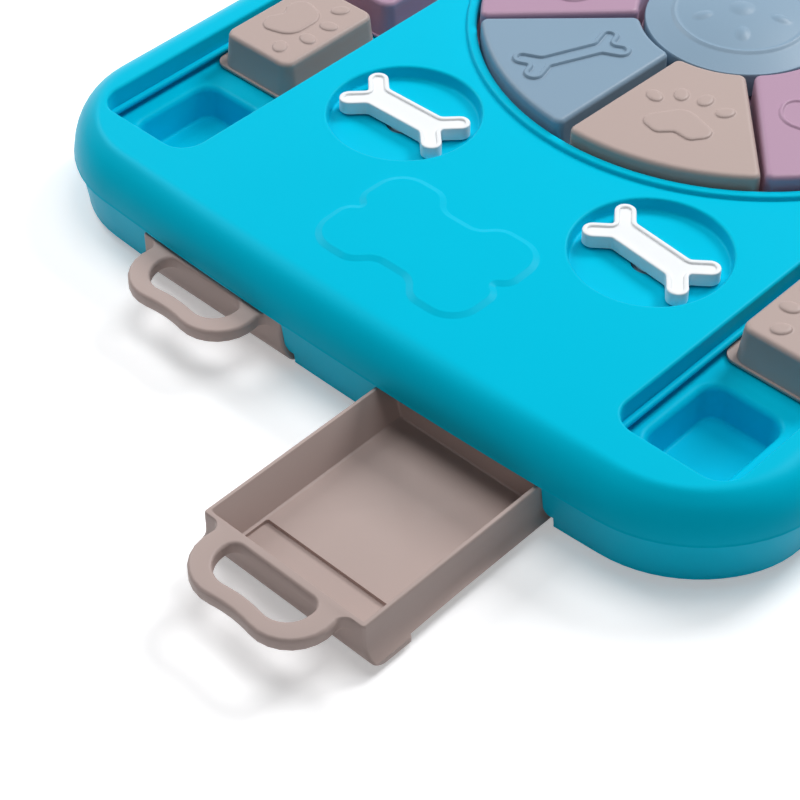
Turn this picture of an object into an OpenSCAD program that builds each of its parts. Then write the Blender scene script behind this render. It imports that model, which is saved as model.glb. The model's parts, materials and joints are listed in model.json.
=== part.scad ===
// Dog puzzle feeder board, millimetres, +Z up.
// Origin: centre of the board on the plane it rests on.  X across, Y along.
// The two drawers at -Y are the front ones.

/* [Board] */
// width of the board across X
board_width = 314; // [280:1:360]
// length of the board along Y, drawers closed
board_length = 434; // [390:1:480]
// height of the deck above the table
deck_height = 36; // [34:1:40]
// plan radius of the board corners
corner_radius = 46.7; // [36:0.1:60]
// height of the parting line between the two shells
parting_height = 20.2; // [20:0.1:21]
// wall thickness of the upper shell
shell_wall = 2.6; // [2:0.1:3]

/* [Wheel] */
// distance from the wheel opening to the long sides of the board
wheel_to_side = 60.7; // [58:0.1:70]
// distance from the wheel opening to the ends of the board
wheel_to_end = 120.7; // [120:0.1:130]
// height of the rim round the wheel above the deck
rim_rise = 1.6; // [0.6:0.1:3]
// radius of the centre knob
knob_radius = 35; // [33:0.1:36]
// height of the tops of the wheel blocks
wheel_block_top = 42; // [39:0.1:44]

/* [Channels] */
// distance from a channel centre line to the side of the board
channel_to_side = 40.2; // [39:0.1:41]
// distance from a channel to the end of the board
channel_to_end = 27; // [26:0.1:30]
// distance from the middle of the board to a channel
channel_to_middle = 32; // [31:0.1:40]
// clear width of a channel
channel_width = 44.6; // [43:0.1:46]
// height of the tops of the sliding blocks
slider_top = 39.8; // [38:0.1:42]

/* [Drawers] */
// distance from a drawer to the middle of the board
drawer_to_middle = 21.8; // [21:0.1:24]
// distance from a drawer to the side of the board
drawer_to_side = 68.4; // [68:0.1:72]
// travel of a drawer from closed to the stop
drawer_travel = 75; // [60:1:75]
// length the front right drawer is pulled out
drawer_pulled = 75; // [0:1:75]

/* [Bones] */
// radius of the round recess a bone turns in
recess_radius = 26.6; // [26:0.1:28]
// distance from a bone's pivot to the end of the board
bone_to_end = 96.3; // [96:0.1:98]
// angle the front right bone is turned from the X axis
bone_angle_right = -6; // [-10:1:10]

/* [Hidden] */
$fn = 64;
half_w = board_width / 2;
half_l = board_length / 2;
edge_r = deck_height - parting_height;
floor_bottom = 1.6;
floor_top = 4.2;
recess_floor = deck_height - 4.7;
wheel_radius = min(half_w - wheel_to_side, half_l - wheel_to_end);
rim_top = deck_height + rim_rise;
rim_outer = wheel_radius + 3.9;
rim_wall = wheel_radius + 3;
tray_top = 24.6;
tray_edge = 2.2;
tray_floor = 2;
wheel_tray_top = 28;
channel_offset = half_w - channel_to_side;
channel_y0 = channel_to_end - half_l;
channel_length = -channel_y0 - channel_to_middle;
channel_mid = channel_y0 + channel_length / 2;
pocket_pitch = (channel_length - 0.8) / 3;
pocket_y0 = channel_mid - pocket_pitch;
bone_y = bone_to_end - half_l;
drawer_width = half_w - drawer_to_side - drawer_to_middle;
drawer_offset = drawer_to_middle + drawer_width / 2;
drawer_face = -half_l + 1.6;
drawer_length = 82.4;
drawer_rim = parting_height - 1;
drawer_base = 4.6;
guide_gap = 4;
boss_bottom = 29;
post_radius = 5.2;
block_inner = knob_radius + 2.4;
block_outer = wheel_radius - 0.9;
flange_inner = knob_radius - 4;
flange_outer = wheel_radius + 0.7;
cell_inner = knob_radius + 5;
cell_outer = wheel_radius - 2.8;
cell_wall = 2;
turquoise = [0.00, 0.62, 0.75];
taupe = [0.72, 0.63, 0.61];
mauve = [0.64, 0.48, 0.59];
slate = [0.46, 0.58, 0.68];
white = [0.93, 0.94, 0.95];
rubber = [0.12, 0.12, 0.13];
steel = [0.62, 0.63, 0.65];

// ---- building blocks -------------------------------------------------

// flat rounded rectangle centred on the origin
module rounded(w, l, r) {
  square([w - 2 * r, l], center = true);
  square([w, l - 2 * r], center = true);
  for (x = [-1, 1], y = [-1, 1])
    translate([x * (w / 2 - r), y * (l / 2 - r)])
      circle(r);
}

// upright prism on a rounded rectangle
module prism(w, l, r, z0, z1) {
  translate([0, 0, z0])
    linear_extrude(z1 - z0)
      rounded(w, l, r);
}

// rounded rectangle whose side profile is the child shape; the profile
// starts at the centre of the corner radius, x outward and y upward
module moulded(w, l, r, z0, z1) {
  for (q = [0, 180])
    rotate([0, 0, q]) {
      translate([w / 2 - r, l / 2 - r, 0])
        rotate_extrude(angle = 90)
          children();
      translate([r - w / 2, l / 2 - r, 0])
        rotate([0, 0, 90])
          rotate_extrude(angle = 90)
            children();
      translate([w / 2 - r, 0, 0])
        rotate([90, 0, 0])
          linear_extrude(l - 2 * r, center = true)
            children();
      translate([0, l / 2 - r, 0])
        rotate([0, 0, 90])
          rotate([90, 0, 0])
            linear_extrude(w - 2 * r, center = true)
              children();
    }
  translate([0, 0, (z0 + z1) / 2])
    cube([w - 2 * r, l - 2 * r, z1 - z0], center = true);
}

// points of an arc, from angle a0 to a1 in n steps
function arc(cx, cy, r, a0, a1, n = 5) =
  [for (i = [0:n]) [cx + r * cos(a0 + (a1 - a0) * i / n),
    cy + r * sin(a0 + (a1 - a0) * i / n)]];

// profile of a block with a leaning side and a round top edge
module block_profile(rb, lean, z0, z1, re) {
  a = atan(lean / (z1 - z0));
  polygon(concat([[0, z0], [rb, z0]],
    arc(rb - lean - re, z1 - re, re, a, 90), [[0, z1]]));
}

// profile of a hole whose upper edge is rounded into the deck
module hole_profile(r0, r1, fillet, z0, z1) {
  polygon(concat([[0, z0], [r0, z0]],
    arc(r1 + fillet, z1 - fillet, fillet, 180, 90, 4),
    [[r1 + fillet, z1 + 1], [0, z1 + 1]]));
}

// places a child four times, mirrored across both axes
module four() {
  children();
  mirror([1, 0, 0])
    children();
  mirror([0, 1, 0])
    children();
  rotate([0, 0, 180])
    children();
}

module post(x, y, r, z0, z1) {
  translate([x, y, z0])
    cylinder(r = r, h = z1 - z0, $fn = 32);
}

screw_x = half_w - 42;
screw_y = half_l - 14;
screw_spots = [[screw_x, -screw_y], [-screw_x, -screw_y],
  [screw_x, screw_y], [-screw_x, screw_y], [0, -screw_y], [0, screw_y],
  [0, 101 - half_l], [0, half_l - 101], [half_w - 41, 0], [41 - half_w, 0]];
foot_x = half_w - 37;
foot_y = half_l - 37;
foot_spots = [[foot_x, -foot_y], [-foot_x, -foot_y], [foot_x, foot_y],
  [-foot_x, foot_y], [half_w - 19, 0], [19 - half_w, 0], [0, 0]];

// ---- upper shell -----------------------------------------------------

module edge_round(r, top) {
  intersection() {
    translate([corner_radius - edge_r, parting_height])
      circle(r);
    translate([corner_radius - edge_r, parting_height])
      square([edge_r + 1, edge_r + 1]);
  }
  translate([0, parting_height])
    square([corner_radius - edge_r, top - parting_height]);
}

module relief_bone(len, wid, lobe, shaft) {
  square([len - 2 * lobe, shaft], center = true);
  for (x = [-1, 1], y = [-1, 1])
    translate([x * (len / 2 - lobe), y * (wid / 2 - lobe)])
      circle(lobe);
  for (x = [-1, 1])
    translate([x * (len / 2 - 1.25 * lobe), 0])
      square([1.5 * lobe, wid - 2 * lobe], center = true);
}

module upper_shell() color(turquoise) {
  difference() {
    union() {
      difference() {
        moulded(board_width, board_length, corner_radius,
            parting_height, deck_height)
          edge_round(edge_r, deck_height);
        translate([0, 0, -0.01])
          moulded(board_width, board_length, corner_radius,
              parting_height, deck_height - shell_wall)
            edge_round(edge_r - shell_wall, deck_height - shell_wall);
        // wheel opening
        translate([0, 0, deck_height - 5])
          cylinder(r = rim_wall + 0.1, h = 10, $fn = 160);
        // channel openings
        four()
          translate([channel_offset, channel_mid, 0])
            moulded(channel_width, channel_length, 9,
                deck_height - 4, deck_height + 1)
              hole_profile(9, 9, 1.6, deck_height - 4, deck_height);
      }
      // cups of the bone recesses
      for (x = [-1, 1], y = [-1, 1])
        translate([x * drawer_offset, y * bone_y, recess_floor - 2.5])
          cylinder(r = recess_radius + 2.4, h = 6.2);
      // low bone relief beside each pair of drawers
      for (y = [-1, 1])
        translate([0, y * (half_l - 48.3), deck_height - 1])
          linear_extrude(1.7)
            relief_bone(66, 46, 11, 32);
      // bosses that the case screws cut into
      for (p = screw_spots)
        post(p[0], p[1], 4.6, boss_bottom, deck_height - 2.2);
    }
    for (x = [-1, 1], y = [-1, 1])
      translate([x * drawer_offset, y * bone_y, 0]) {
        rotate_extrude()
          hole_profile(recess_radius, recess_radius + 0.9, 1.6,
            recess_floor, deck_height);
        translate([0, 0, 20])
          cylinder(r = 6.4, h = 20);
      }
    for (p = screw_spots)
      post(p[0], p[1], 1.6, boss_bottom - 1, deck_height - 3);
  }
}

// round well that the wheel turns in, with its raised rim
module wheel_rim() color(turquoise)
  rotate_extrude($fn = 160)
    polygon(concat(
      [[wheel_radius, 30.4], [wheel_radius + 1.3, 30.4],
        [wheel_radius + 1.3, wheel_tray_top + 0.1],
        [rim_wall, wheel_tray_top + 0.1], [rim_wall, deck_height + 0.1],
        [rim_outer, deck_height + 0.1]],
      arc(rim_outer - 1.2, rim_top - 1.5, 1.2, 10, 90, 3),
      arc(wheel_radius + 1, rim_top - 1, 1, 90, 180, 3)));

// walls of one channel, with the rails that hold its blocks down
module channel_frame() {
  top = deck_height - shell_wall - 0.1;
  difference() {
    prism(channel_width + 2 * tray_edge, channel_length + 2 * tray_edge,
      9 + tray_edge, tray_top + 0.1, top);
    prism(channel_width, channel_length, 9, tray_top, deck_height);
  }
  for (x = [-1, 1])
    translate([x * (channel_width / 2 - 1.2), 0, 28])
      cube([2.6, channel_length - 16, 2], center = true);
}

module channel_frame_front_right() color(turquoise)
  translate([channel_offset, channel_mid, 0])
    channel_frame();

module channel_frame_front_left() color(turquoise)
  mirror([1, 0, 0])
    channel_frame_front_right();

module channel_frame_back_right() color(turquoise)
  mirror([0, 1, 0])
    channel_frame_front_right();

module channel_frame_back_left() color(turquoise)
  rotate([0, 0, 180])
    channel_frame_front_right();

// ---- lower shell -----------------------------------------------------

wall_top = parting_height - 0.2;
wall_lean = 2.2;

// cross-section of a drawer, x across and y upward
module drawer_section(z0, grow) {
  w = drawer_width / 2 + grow;
  translate([-w, z0])
    square([2 * w, drawer_rim + 2 * grow - z0]);
  for (s = [-1, 1])
    difference() {
      translate([s * (w + 1.5 + grow / 4) - 1.6 - grow / 4, z0])
        square([3.2 + grow / 2, 10 - z0]);
      translate([s * (drawer_width / 2 + 4), 10])
        circle(4 - grow, $fn = 32);
    }
}

// profile of the floor, with its chamfered edge
module floor_profile() {
  foot = corner_radius - 1.2 - wall_lean;
  polygon([[0, floor_bottom], [foot - 3.2, floor_bottom],
    [foot, floor_bottom + 1.4], [foot, floor_top], [0, floor_top]]);
}

// profile of the leaning side wall, out to a distance inside its face
module wall_profile(inset, z0, z1) {
  face = corner_radius - 1.2 - inset;
  polygon([[0, z0], [face - wall_lean, z0], [face, z1], [0, z1]]);
}

module slot_cut() {
  for (s = [-1, 1])
    translate([s * drawer_offset, -half_l + 8, 0]) {
      rotate([90, 0, 0])
        linear_extrude(12)
          drawer_section(0, 0.5);
      // room for the deeper front part of the drawer
      translate([0, 0, 2])
        cube([drawer_width + 8.6, 24, 10 - 0.2], center = true);
    }
}

module slot_cuts() {
  slot_cut();
  rotate([0, 0, 180])
    slot_cut();
}

module lower_shell_floor() color(turquoise)
  difference() {
    moulded(board_width, board_length, corner_radius,
        floor_bottom, floor_top)
      floor_profile();
    slot_cuts();
    for (p = screw_spots)
      post(p[0], p[1], 3.9, 0, 8);
    for (p = foot_spots)
      post(p[0], p[1], 9.2, 0, floor_bottom + 1);
  }

module lower_shell_walls() color(turquoise)
  difference() {
    moulded(board_width, board_length, corner_radius,
        floor_top, wall_top)
      wall_profile(0, floor_top, wall_top);
    moulded(board_width, board_length, corner_radius,
        floor_top - 0.1, wall_top + 0.1)
      wall_profile(shell_wall, floor_top - 0.1, wall_top + 0.1);
    slot_cuts();
    for (y = [-1, 1], x = [-1, 1])
      translate([x * drawer_offset, y * half_l, wall_top])
        cube([drawer_width + 1, 16, 1.4], center = true);
  }

module lower_shell_posts() color(turquoise)
  difference() {
    for (p = screw_spots)
      post(p[0], p[1], post_radius, floor_top, boss_bottom - 0.1);
    for (p = screw_spots) {
      post(p[0], p[1], 3.9, 0, 8);
      post(p[0], p[1], 1.9, 7, 40);
    }
  }

// guides beside each drawer and the stop behind it
module guide_pair() {
  front = 1.5 + wall_lean + shell_wall - half_l;
  back = drawer_face + drawer_length + 3.4;
  for (s = [-1, 1])
    translate([s * drawer_offset, 0, floor_top]) {
      for (g = [-1, 1])
        translate([g * (drawer_width / 2 + guide_gap + 1) - 1, front, 0])
          cube([2, back - front, wall_top - 0.4 - floor_top]);
      translate([-15, back - 2, 0])
        cube([30, 2, 5.8]);
    }
}

module drawer_guides() color(turquoise) {
  guide_pair();
  rotate([0, 0, 180])
    guide_pair();
}

// ---- trays -----------------------------------------------------------

// treat spaces of a channel, with leaning walls and a round upper edge
module pocket_spaces()
  for (k = [-1:1])
    translate([0, k * pocket_pitch, 0])
      moulded(28, 36, 7, tray_top - 12.2, tray_top + 1)
        hole_profile(4.8, 6.6, 1.6, tray_top - 12.2, tray_top);

// floor that the blocks of a channel slide on
module channel_tray() {
  difference() {
    prism(channel_width + 2 * tray_edge, channel_length + 2 * tray_edge,
      9 + tray_edge, tray_top - tray_floor, tray_top);
    pocket_spaces();
  }
}

// cups that hang from the tray under its three mouths
module channel_pockets() {
  difference() {
    for (k = [-1:1])
      translate([0, k * pocket_pitch, 0])
        prism(33, 41, 9, tray_top - 14.2, tray_top - tray_floor - 0.1);
    pocket_spaces();
  }
}

module tray_front_right() color(turquoise)
  translate([channel_offset, channel_mid, 0])
    channel_tray();

module tray_front_left() color(turquoise)
  mirror([1, 0, 0])
    tray_front_right();

module tray_back_right() color(turquoise)
  mirror([0, 1, 0])
    tray_front_right();

module tray_back_left() color(turquoise)
  rotate([0, 0, 180])
    tray_front_right();

module pockets_front_right() color(turquoise)
  translate([channel_offset, channel_mid, 0])
    channel_pockets();

module pockets_front_left() color(turquoise)
  mirror([1, 0, 0])
    pockets_front_right();

module pockets_back_right() color(turquoise)
  mirror([0, 1, 0])
    pockets_front_right();

module pockets_back_left() color(turquoise)
  rotate([0, 0, 180])
    pockets_front_right();

module wheel_tray() color(turquoise) {
  difference() {
    union() {
      translate([0, 0, wheel_tray_top - 2])
        cylinder(r = rim_wall, h = 2, $fn = 160);
      for (k = [0:7])
        rotate([0, 0, 45 * k + 1.8])
          rotate_extrude(angle = 41.4, $fn = 160)
            translate([cell_inner, 14])
              square([cell_outer - cell_inner, 13]);
      // bearing of the knob and the ring inside the wheel blocks
      post(0, 0, 14, 14, 30.6);
      rotate_extrude()
        translate([flange_inner - 3.4, wheel_tray_top - 1])
          square([2.6, 2.8]);
    }
    for (k = [0:7])
      rotate([0, 0, 45 * k + 3.2])
        rotate_extrude(angle = 38.6, $fn = 160)
          translate([cell_inner + cell_wall, 16])
            square([cell_outer - cell_inner - 2 * cell_wall, 14]);
    post(0, 0, 6.4, 10, 40);
    post(0, 0, 9.4, 10, 20.2);
  }
}

// ---- fasteners and feet ----------------------------------------------

module case_screws() color(steel)
  for (p = screw_spots) {
    post(p[0], p[1], 1.5, 7, deck_height - 3.6);
    difference() {
      post(p[0], p[1], 3.3, 5.6, 7.9);
      translate([p[0], p[1], 5.6])
        for (a = [0, 90])
          rotate([0, 0, a])
            cube([3.4, 0.8, 2], center = true);
    }
  }

module rubber_feet() color(rubber)
  for (p = foot_spots) {
    post(p[0], p[1], 9, 0.6, floor_bottom + 0.9);
    post(p[0], p[1], 8.2, 0, 0.7);
  }

// ---- wheel -----------------------------------------------------------

module wedge_cut(offset_in, half_angle) {
  // takes away everything outside one wedge of the ring
  for (s = [-1, 1])
    rotate([0, 0, s * half_angle])
      translate([0, s * (100 - offset_in), 35])
        cube([300, 200, 60], center = true);
}

module motif_paw(h) {
  linear_extrude(h) {
    circle(7);
    for (s = [-1, 1])
      translate([-4, s * 6])
        circle(5.4);
    for (p = [[9.5, -5.2], [9.5, 5.2], [3.4, -14], [3.4, 14]])
      translate(p)
        circle(3.1);
  }
}

module motif_bone(h) {
  difference() {
    linear_extrude(h)
      relief_bone(38, 15.6, 4.4, 8.4);
    translate([0, 0, -1])
      linear_extrude(h + 2)
        relief_bone(34.4, 12, 2.6, 4.8);
  }
}

module motif_ring(h) {
  difference() {
    linear_extrude(h)
      rounded(15, 30, 7.4);
    translate([0, 0, -1])
      linear_extrude(h + 2)
        rounded(12.6, 27.6, 6.2);
  }
}

module wheel_block() {
  difference() {
    union() {
      difference() {
        rotate_extrude($fn = 160)
          intersection() {
            translate([block_inner, 29])
              square([block_outer - block_inner, wheel_block_top - 29]);
            union() {
              translate([block_inner, 29])
                square([block_outer - block_inner, wheel_block_top - 31]);
              translate([block_inner + 2, 29])
                square([block_outer - block_inner - 4, wheel_block_top - 29]);
              for (x = [block_inner + 2, block_outer - 2])
                translate([x, wheel_block_top - 2])
                  circle(2, $fn = 32);
            }
          }
        wedge_cut(2.0, 22.5);
      }
      difference() {
        rotate_extrude($fn = 160)
          translate([flange_inner, wheel_tray_top + 0.3])
            square([flange_outer - flange_inner, 1.6]);
        wedge_cut(1.4, 22.5);
      }
    }
    // hollow underside
    difference() {
      rotate_extrude($fn = 160)
        translate([block_inner + 2.2, 20])
          square([block_outer - block_inner - 4.4, wheel_block_top - 22.4]);
      wedge_cut(4.2, 22.5);
    }
  }
}

module wheel_spot(a) {
  rotate([0, 0, a])
    wheel_block();
  rotate([0, 0, a])
    translate([(block_inner + block_outer) / 2 + 1.6, 0, wheel_block_top - 0.3])
      children();
}

module wheel_block_mauve_left() color(mauve)
  wheel_spot(-158.7)
    motif_ring(1);

module wheel_block_slate_front() color(slate)
  wheel_spot(-115.1)
    rotate([0, 0, 3.6])
      motif_bone(1.1);

module wheel_block_taupe_front() color(taupe)
  wheel_spot(-70.2)
    rotate([0, 0, 180])
      motif_paw(1);

module wheel_block_mauve_right() color(mauve)
  wheel_spot(-26.6)
    motif_ring(1);

module wheel_block_slate_back() color(slate)
  wheel_spot(67.9)
    motif_bone(1.1);

module wheel_block_taupe_back() color(taupe)
  wheel_spot(112.1)
    rotate([0, 0, 180])
      motif_paw(1);

module knob() color(slate) {
  dome = 86;
  difference() {
    union() {
      intersection() {
        translate([0, 0, 46.4 - dome])
          sphere(dome, $fn = 160);
        translate([0, 0, 31])
          cylinder(r = knob_radius, h = 30, $fn = 96);
      }
      // generic raised ring and five dots on the dome
      for (k = [0:4])
        rotate([0, 0, 72 * k + 20])
          post(17, 0, 2.4, 42, 45.6);
    }
    difference() {
      post(0, 0, knob_radius - 2.4, 30.9, 37.4);
      post(0, 0, 16, 30, 40);
    }
    post(0, 0, 2.1, 30, 38);
  }
  difference() {
    post(0, 0, 6, 20.4, 32);
    post(0, 0, 2.1, 19, 33);
  }
}

module knob_screw() color(steel) {
  post(0, 0, 8.4, 18.9, 20.1);
  difference() {
    post(0, 0, 3.8, 16.6, 19);
    for (a = [0, 90])
      rotate([0, 0, a])
        translate([0, 0, 16.6])
          cube([4, 0.9, 2], center = true);
  }
  post(0, 0, 2, 18.5, 36);
}

// ---- sliding blocks --------------------------------------------------

module slider() {
  difference() {
    union() {
      moulded(34.8, pocket_pitch - 4.4, 5.5, 26, slider_top)
        block_profile(5.5, 1.2, 26, slider_top, 2.2);
      prism(40.8, pocket_pitch - 1.2, 5, tray_top + 0.4, 26.5);
    }
    prism(29, pocket_pitch - 10.4, 3, 20, slider_top - 2.2);
  }
}

module slider_spot(k) {
  translate([channel_offset, pocket_y0 + k * pocket_pitch, 0])
    slider();
}

module slider_paw(k) {
  slider_spot(k);
  translate([channel_offset + 4.5, pocket_y0 + k * pocket_pitch,
    slider_top - 0.3])
    rotate([0, 0, 180])
      motif_paw(1);
}

module slider_front_right_taupe() color(taupe)
  slider_paw(1);

module slider_front_right_mauve() color(mauve)
  slider_paw(2);

module slider_front_left_taupe() color(taupe)
  mirror([1, 0, 0])
    slider_paw(1);

module slider_front_left_mauve() color(mauve)
  mirror([1, 0, 0])
    slider_paw(2);

module slider_back_right_taupe() color(taupe)
  mirror([0, 1, 0])
    slider_paw(0);

module slider_back_right_mauve() color(mauve)
  mirror([0, 1, 0])
    slider_paw(2);

module slider_back_left_taupe() color(taupe)
  rotate([0, 0, 180])
    slider_paw(0);

module slider_back_left_mauve() color(mauve)
  rotate([0, 0, 180])
    slider_paw(2);

// ---- bones -----------------------------------------------------------

module bone_outline(grow) {
  square([34, 10 + 2 * grow], center = true);
  for (x = [-1, 1], y = [-1, 1])
    translate([x * 17.6, y * 5.9])
      circle(5.2 + grow, $fn = 40);
  for (x = [-1, 1])
    translate([x * 16.4, 0])
      square([8 + 2 * grow, 12], center = true);
}

module bone() {
  difference() {
    union() {
      translate([0, 0, recess_floor + 0.6])
        linear_extrude(5.2)
          bone_outline(0);
      post(0, 0, 5, recess_floor - 0.6, recess_floor + 2);
    }
    translate([0, 0, recess_floor + 5.2])
      linear_extrude(2)
        bone_outline(-1.3);
    post(0, 0, 1.6, 28, recess_floor + 4);
  }
}

module bone_lock() {
  difference() {
    union() {
      post(0, 0, 5.9, recess_floor - 2.8, recess_floor - 0.7);
      translate([0, 0, recess_floor - 4.3])
        cube([36, 7, 3], center = true);
      post(0, 0, 11, recess_floor - 5.8, recess_floor - 2.8);
      for (x = [-18, 18])
        post(x, 0, 2.2, 12.4, recess_floor - 2.8);
    }
    post(0, 0, 1.6, 20, 40);
  }
}

module bone_screw() {
  post(0, 0, 1.4, recess_floor - 6.2, recess_floor + 3);
  difference() {
    post(0, 0, 3.2, recess_floor - 8, recess_floor - 5.9);
    for (a = [0, 90])
      rotate([0, 0, a])
        translate([0, 0, recess_floor - 8])
          cube([3.4, 0.8, 1.8], center = true);
  }
}

module bone_spot(x, y, a) {
  translate([x * drawer_offset, y * bone_y, 0])
    rotate([0, 0, a])
      children();
}

module bone_front_left() color(white)
  bone_spot(-1, 1, 1)
    bone();

module bone_front_right() color(white)
  bone_spot(1, 1, bone_angle_right)
    bone();

module bone_back_left() color(white)
  bone_spot(-1, -1, 0)
    bone();

module bone_back_right() color(white)
  bone_spot(1, -1, 0)
    bone();

module bone_lock_front_left() color(slate)
  bone_spot(-1, 1, 1)
    bone_lock();

module bone_lock_front_right() color(slate)
  bone_spot(1, 1, bone_angle_right)
    bone_lock();

module bone_lock_back_left() color(slate)
  bone_spot(-1, -1, 0)
    bone_lock();

module bone_lock_back_right() color(slate)
  bone_spot(1, -1, 0)
    bone_lock();

module bone_screw_front_left() color(steel)
  bone_spot(-1, 1, 1)
    bone_screw();

module bone_screw_front_right() color(steel)
  bone_spot(1, 1, bone_angle_right)
    bone_screw();

module bone_screw_back_left() color(steel)
  bone_spot(-1, -1, 0)
    bone_screw();

module bone_screw_back_right() color(steel)
  bone_spot(1, -1, 0)
    bone_screw();

// ---- drawers ---------------------------------------------------------

module handle_outline() {
  for (s = [-1, 1]) {
    translate([s * 13, -7.5])
      circle(14);
    // fillet into the face
    difference() {
      translate([s * 26 - 2, -2.6])
        square([4, 2.8]);
      translate([s * 28.4, -2.6])
        circle(2.6, $fn = 32);
    }
  }
  translate([-13, -20.3])
    square([26, 20.4]);
}

module handle_hole() {
  for (s = [-1, 1])
    translate([s * 11.6, -8.4])
      circle(7.2);
  translate([-11.6, -14.8])
    square([23.2, 13.6]);
}

module drawer() {
  half = drawer_width / 2;
  difference() {
    union() {
      // body and its deeper front part
      translate([0, drawer_length, 0])
        rotate([90, 0, 0])
          linear_extrude(drawer_length)
            drawer_section(drawer_base, 0);
      translate([0, 17, 0])
        rotate([90, 0, 0])
          linear_extrude(17)
            drawer_section(2, 0);
      // handle loop, level with the rim
      difference() {
        translate([0, 0.1, drawer_rim - 4.8])
          linear_extrude(4.8)
            handle_outline();
        for (s = [-1, 1])
          translate([s * 60, 20.1, drawer_rim])
            cube([40, 40, 40], center = true);
      }
      // stops that catch behind the front wall
      for (s = [-1, 1])
        translate([s * (half + 0.8), drawer_length - 1.5, 13])
          cube([2.6, 3, 6], center = true);
    }
    // treat space with leaning side walls
    translate([0, drawer_length - 2.2, 0])
      rotate([90, 0, 0])
        linear_extrude(drawer_length - 4.4)
          polygon([[-half + 4.6, 7], [half - 4.6, 7],
            [half - 2.2, drawer_rim + 1], [-half + 2.2, drawer_rim + 1]]);
    translate([0, 17, 0])
      rotate([90, 0, 0])
        linear_extrude(14.8)
          polygon([[-half + 5, 4.4], [half - 5, 4.4],
            [half - 4.4, 8], [-half + 4.4, 8]]);
    // finger hole
    translate([0, 0, drawer_rim - 6])
      linear_extrude(8)
        handle_hole();
    // notches that let the bone lock swing in behind the catch
    for (s = [-1, 1])
      translate([s * 11.2, drawer_length - 1, 20])
        cube([13.6, 6, 18], center = true);
  }
}

module drawer_front_right() color(taupe)
  translate([drawer_offset, drawer_face - drawer_pulled, 0])
    drawer();

module drawer_front_left() color(taupe)
  translate([-drawer_offset, drawer_face, 0])
    drawer();

module drawer_back_right() color(taupe)
  rotate([0, 0, 180])
    translate([-drawer_offset, drawer_face, 0])
      drawer();

module drawer_back_left() color(taupe)
  rotate([0, 0, 180])
    translate([drawer_offset, drawer_face, 0])
      drawer();

// ---- assembly --------------------------------------------------------

upper_shell();
wheel_rim();
channel_frame_front_left();
channel_frame_front_right();
channel_frame_back_left();
channel_frame_back_right();
lower_shell_floor();
lower_shell_walls();
lower_shell_posts();
drawer_guides();
tray_front_left();
tray_front_right();
tray_back_left();
tray_back_right();
pockets_front_left();
pockets_front_right();
pockets_back_left();
pockets_back_right();
wheel_tray();
case_screws();
rubber_feet();
knob();
knob_screw();
wheel_block_mauve_left();
wheel_block_slate_front();
wheel_block_taupe_front();
wheel_block_mauve_right();
wheel_block_slate_back();
wheel_block_taupe_back();
slider_front_left_taupe();
slider_front_left_mauve();
slider_front_right_taupe();
slider_front_right_mauve();
slider_back_left_taupe();
slider_back_left_mauve();
slider_back_right_taupe();
slider_back_right_mauve();
bone_front_left();
bone_front_right();
bone_back_left();
bone_back_right();
bone_lock_front_left();
bone_lock_front_right();
bone_lock_back_left();
bone_lock_back_right();
bone_screw_front_left();
bone_screw_front_right();
bone_screw_back_left();
bone_screw_back_right();
drawer_front_left();
drawer_front_right();
drawer_back_left();
drawer_back_right();
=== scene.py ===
import json
import math

import bmesh
import bpy
import numpy as np
from mathutils import Matrix, Vector
from mathutils.geometry import delaunay_2d_cdt


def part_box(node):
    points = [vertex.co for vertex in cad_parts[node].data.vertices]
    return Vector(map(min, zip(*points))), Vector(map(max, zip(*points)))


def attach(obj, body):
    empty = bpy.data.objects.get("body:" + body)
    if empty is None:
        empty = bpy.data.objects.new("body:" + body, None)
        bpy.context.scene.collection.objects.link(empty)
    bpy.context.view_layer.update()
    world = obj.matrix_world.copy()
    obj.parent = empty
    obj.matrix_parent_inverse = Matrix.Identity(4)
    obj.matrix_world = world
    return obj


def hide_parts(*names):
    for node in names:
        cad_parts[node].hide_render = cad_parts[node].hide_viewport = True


# Looks, light and camera of the dog puzzle feeder board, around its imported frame.
# Sizes are millimetres, angles are degrees; MM turns a size into Blender's metres.
MM = 0.001

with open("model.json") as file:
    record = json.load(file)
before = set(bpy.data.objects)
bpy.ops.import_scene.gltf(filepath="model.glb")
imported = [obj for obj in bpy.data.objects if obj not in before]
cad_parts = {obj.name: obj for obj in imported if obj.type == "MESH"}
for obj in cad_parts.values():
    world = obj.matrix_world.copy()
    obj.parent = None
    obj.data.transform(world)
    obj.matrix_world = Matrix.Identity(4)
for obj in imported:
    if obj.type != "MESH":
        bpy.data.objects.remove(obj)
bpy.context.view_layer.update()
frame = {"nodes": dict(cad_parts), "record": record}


# ---- sizes read from the frame ------------------------------------------

def corners(node):
    """Lowest and highest corner of a CAD node, in millimetres."""
    low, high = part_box(node)
    return np.array(low) / MM, np.array(high) / MM


shell_low, shell_high = corners("upper_shell")
BOARD_W = shell_high[0] - shell_low[0]
BOARD_L = shell_high[1] - shell_low[1]
PARTING = shell_low[2]
tray_low, tray_high = corners("tray_front_right")
TRAY_W = tray_high[0] - tray_low[0]
TRAY_L = tray_high[1] - tray_low[1]
TRAY_TOP = tray_high[2]
TRAY_BOTTOM = corners("pockets_front_right")[0][2]
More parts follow.
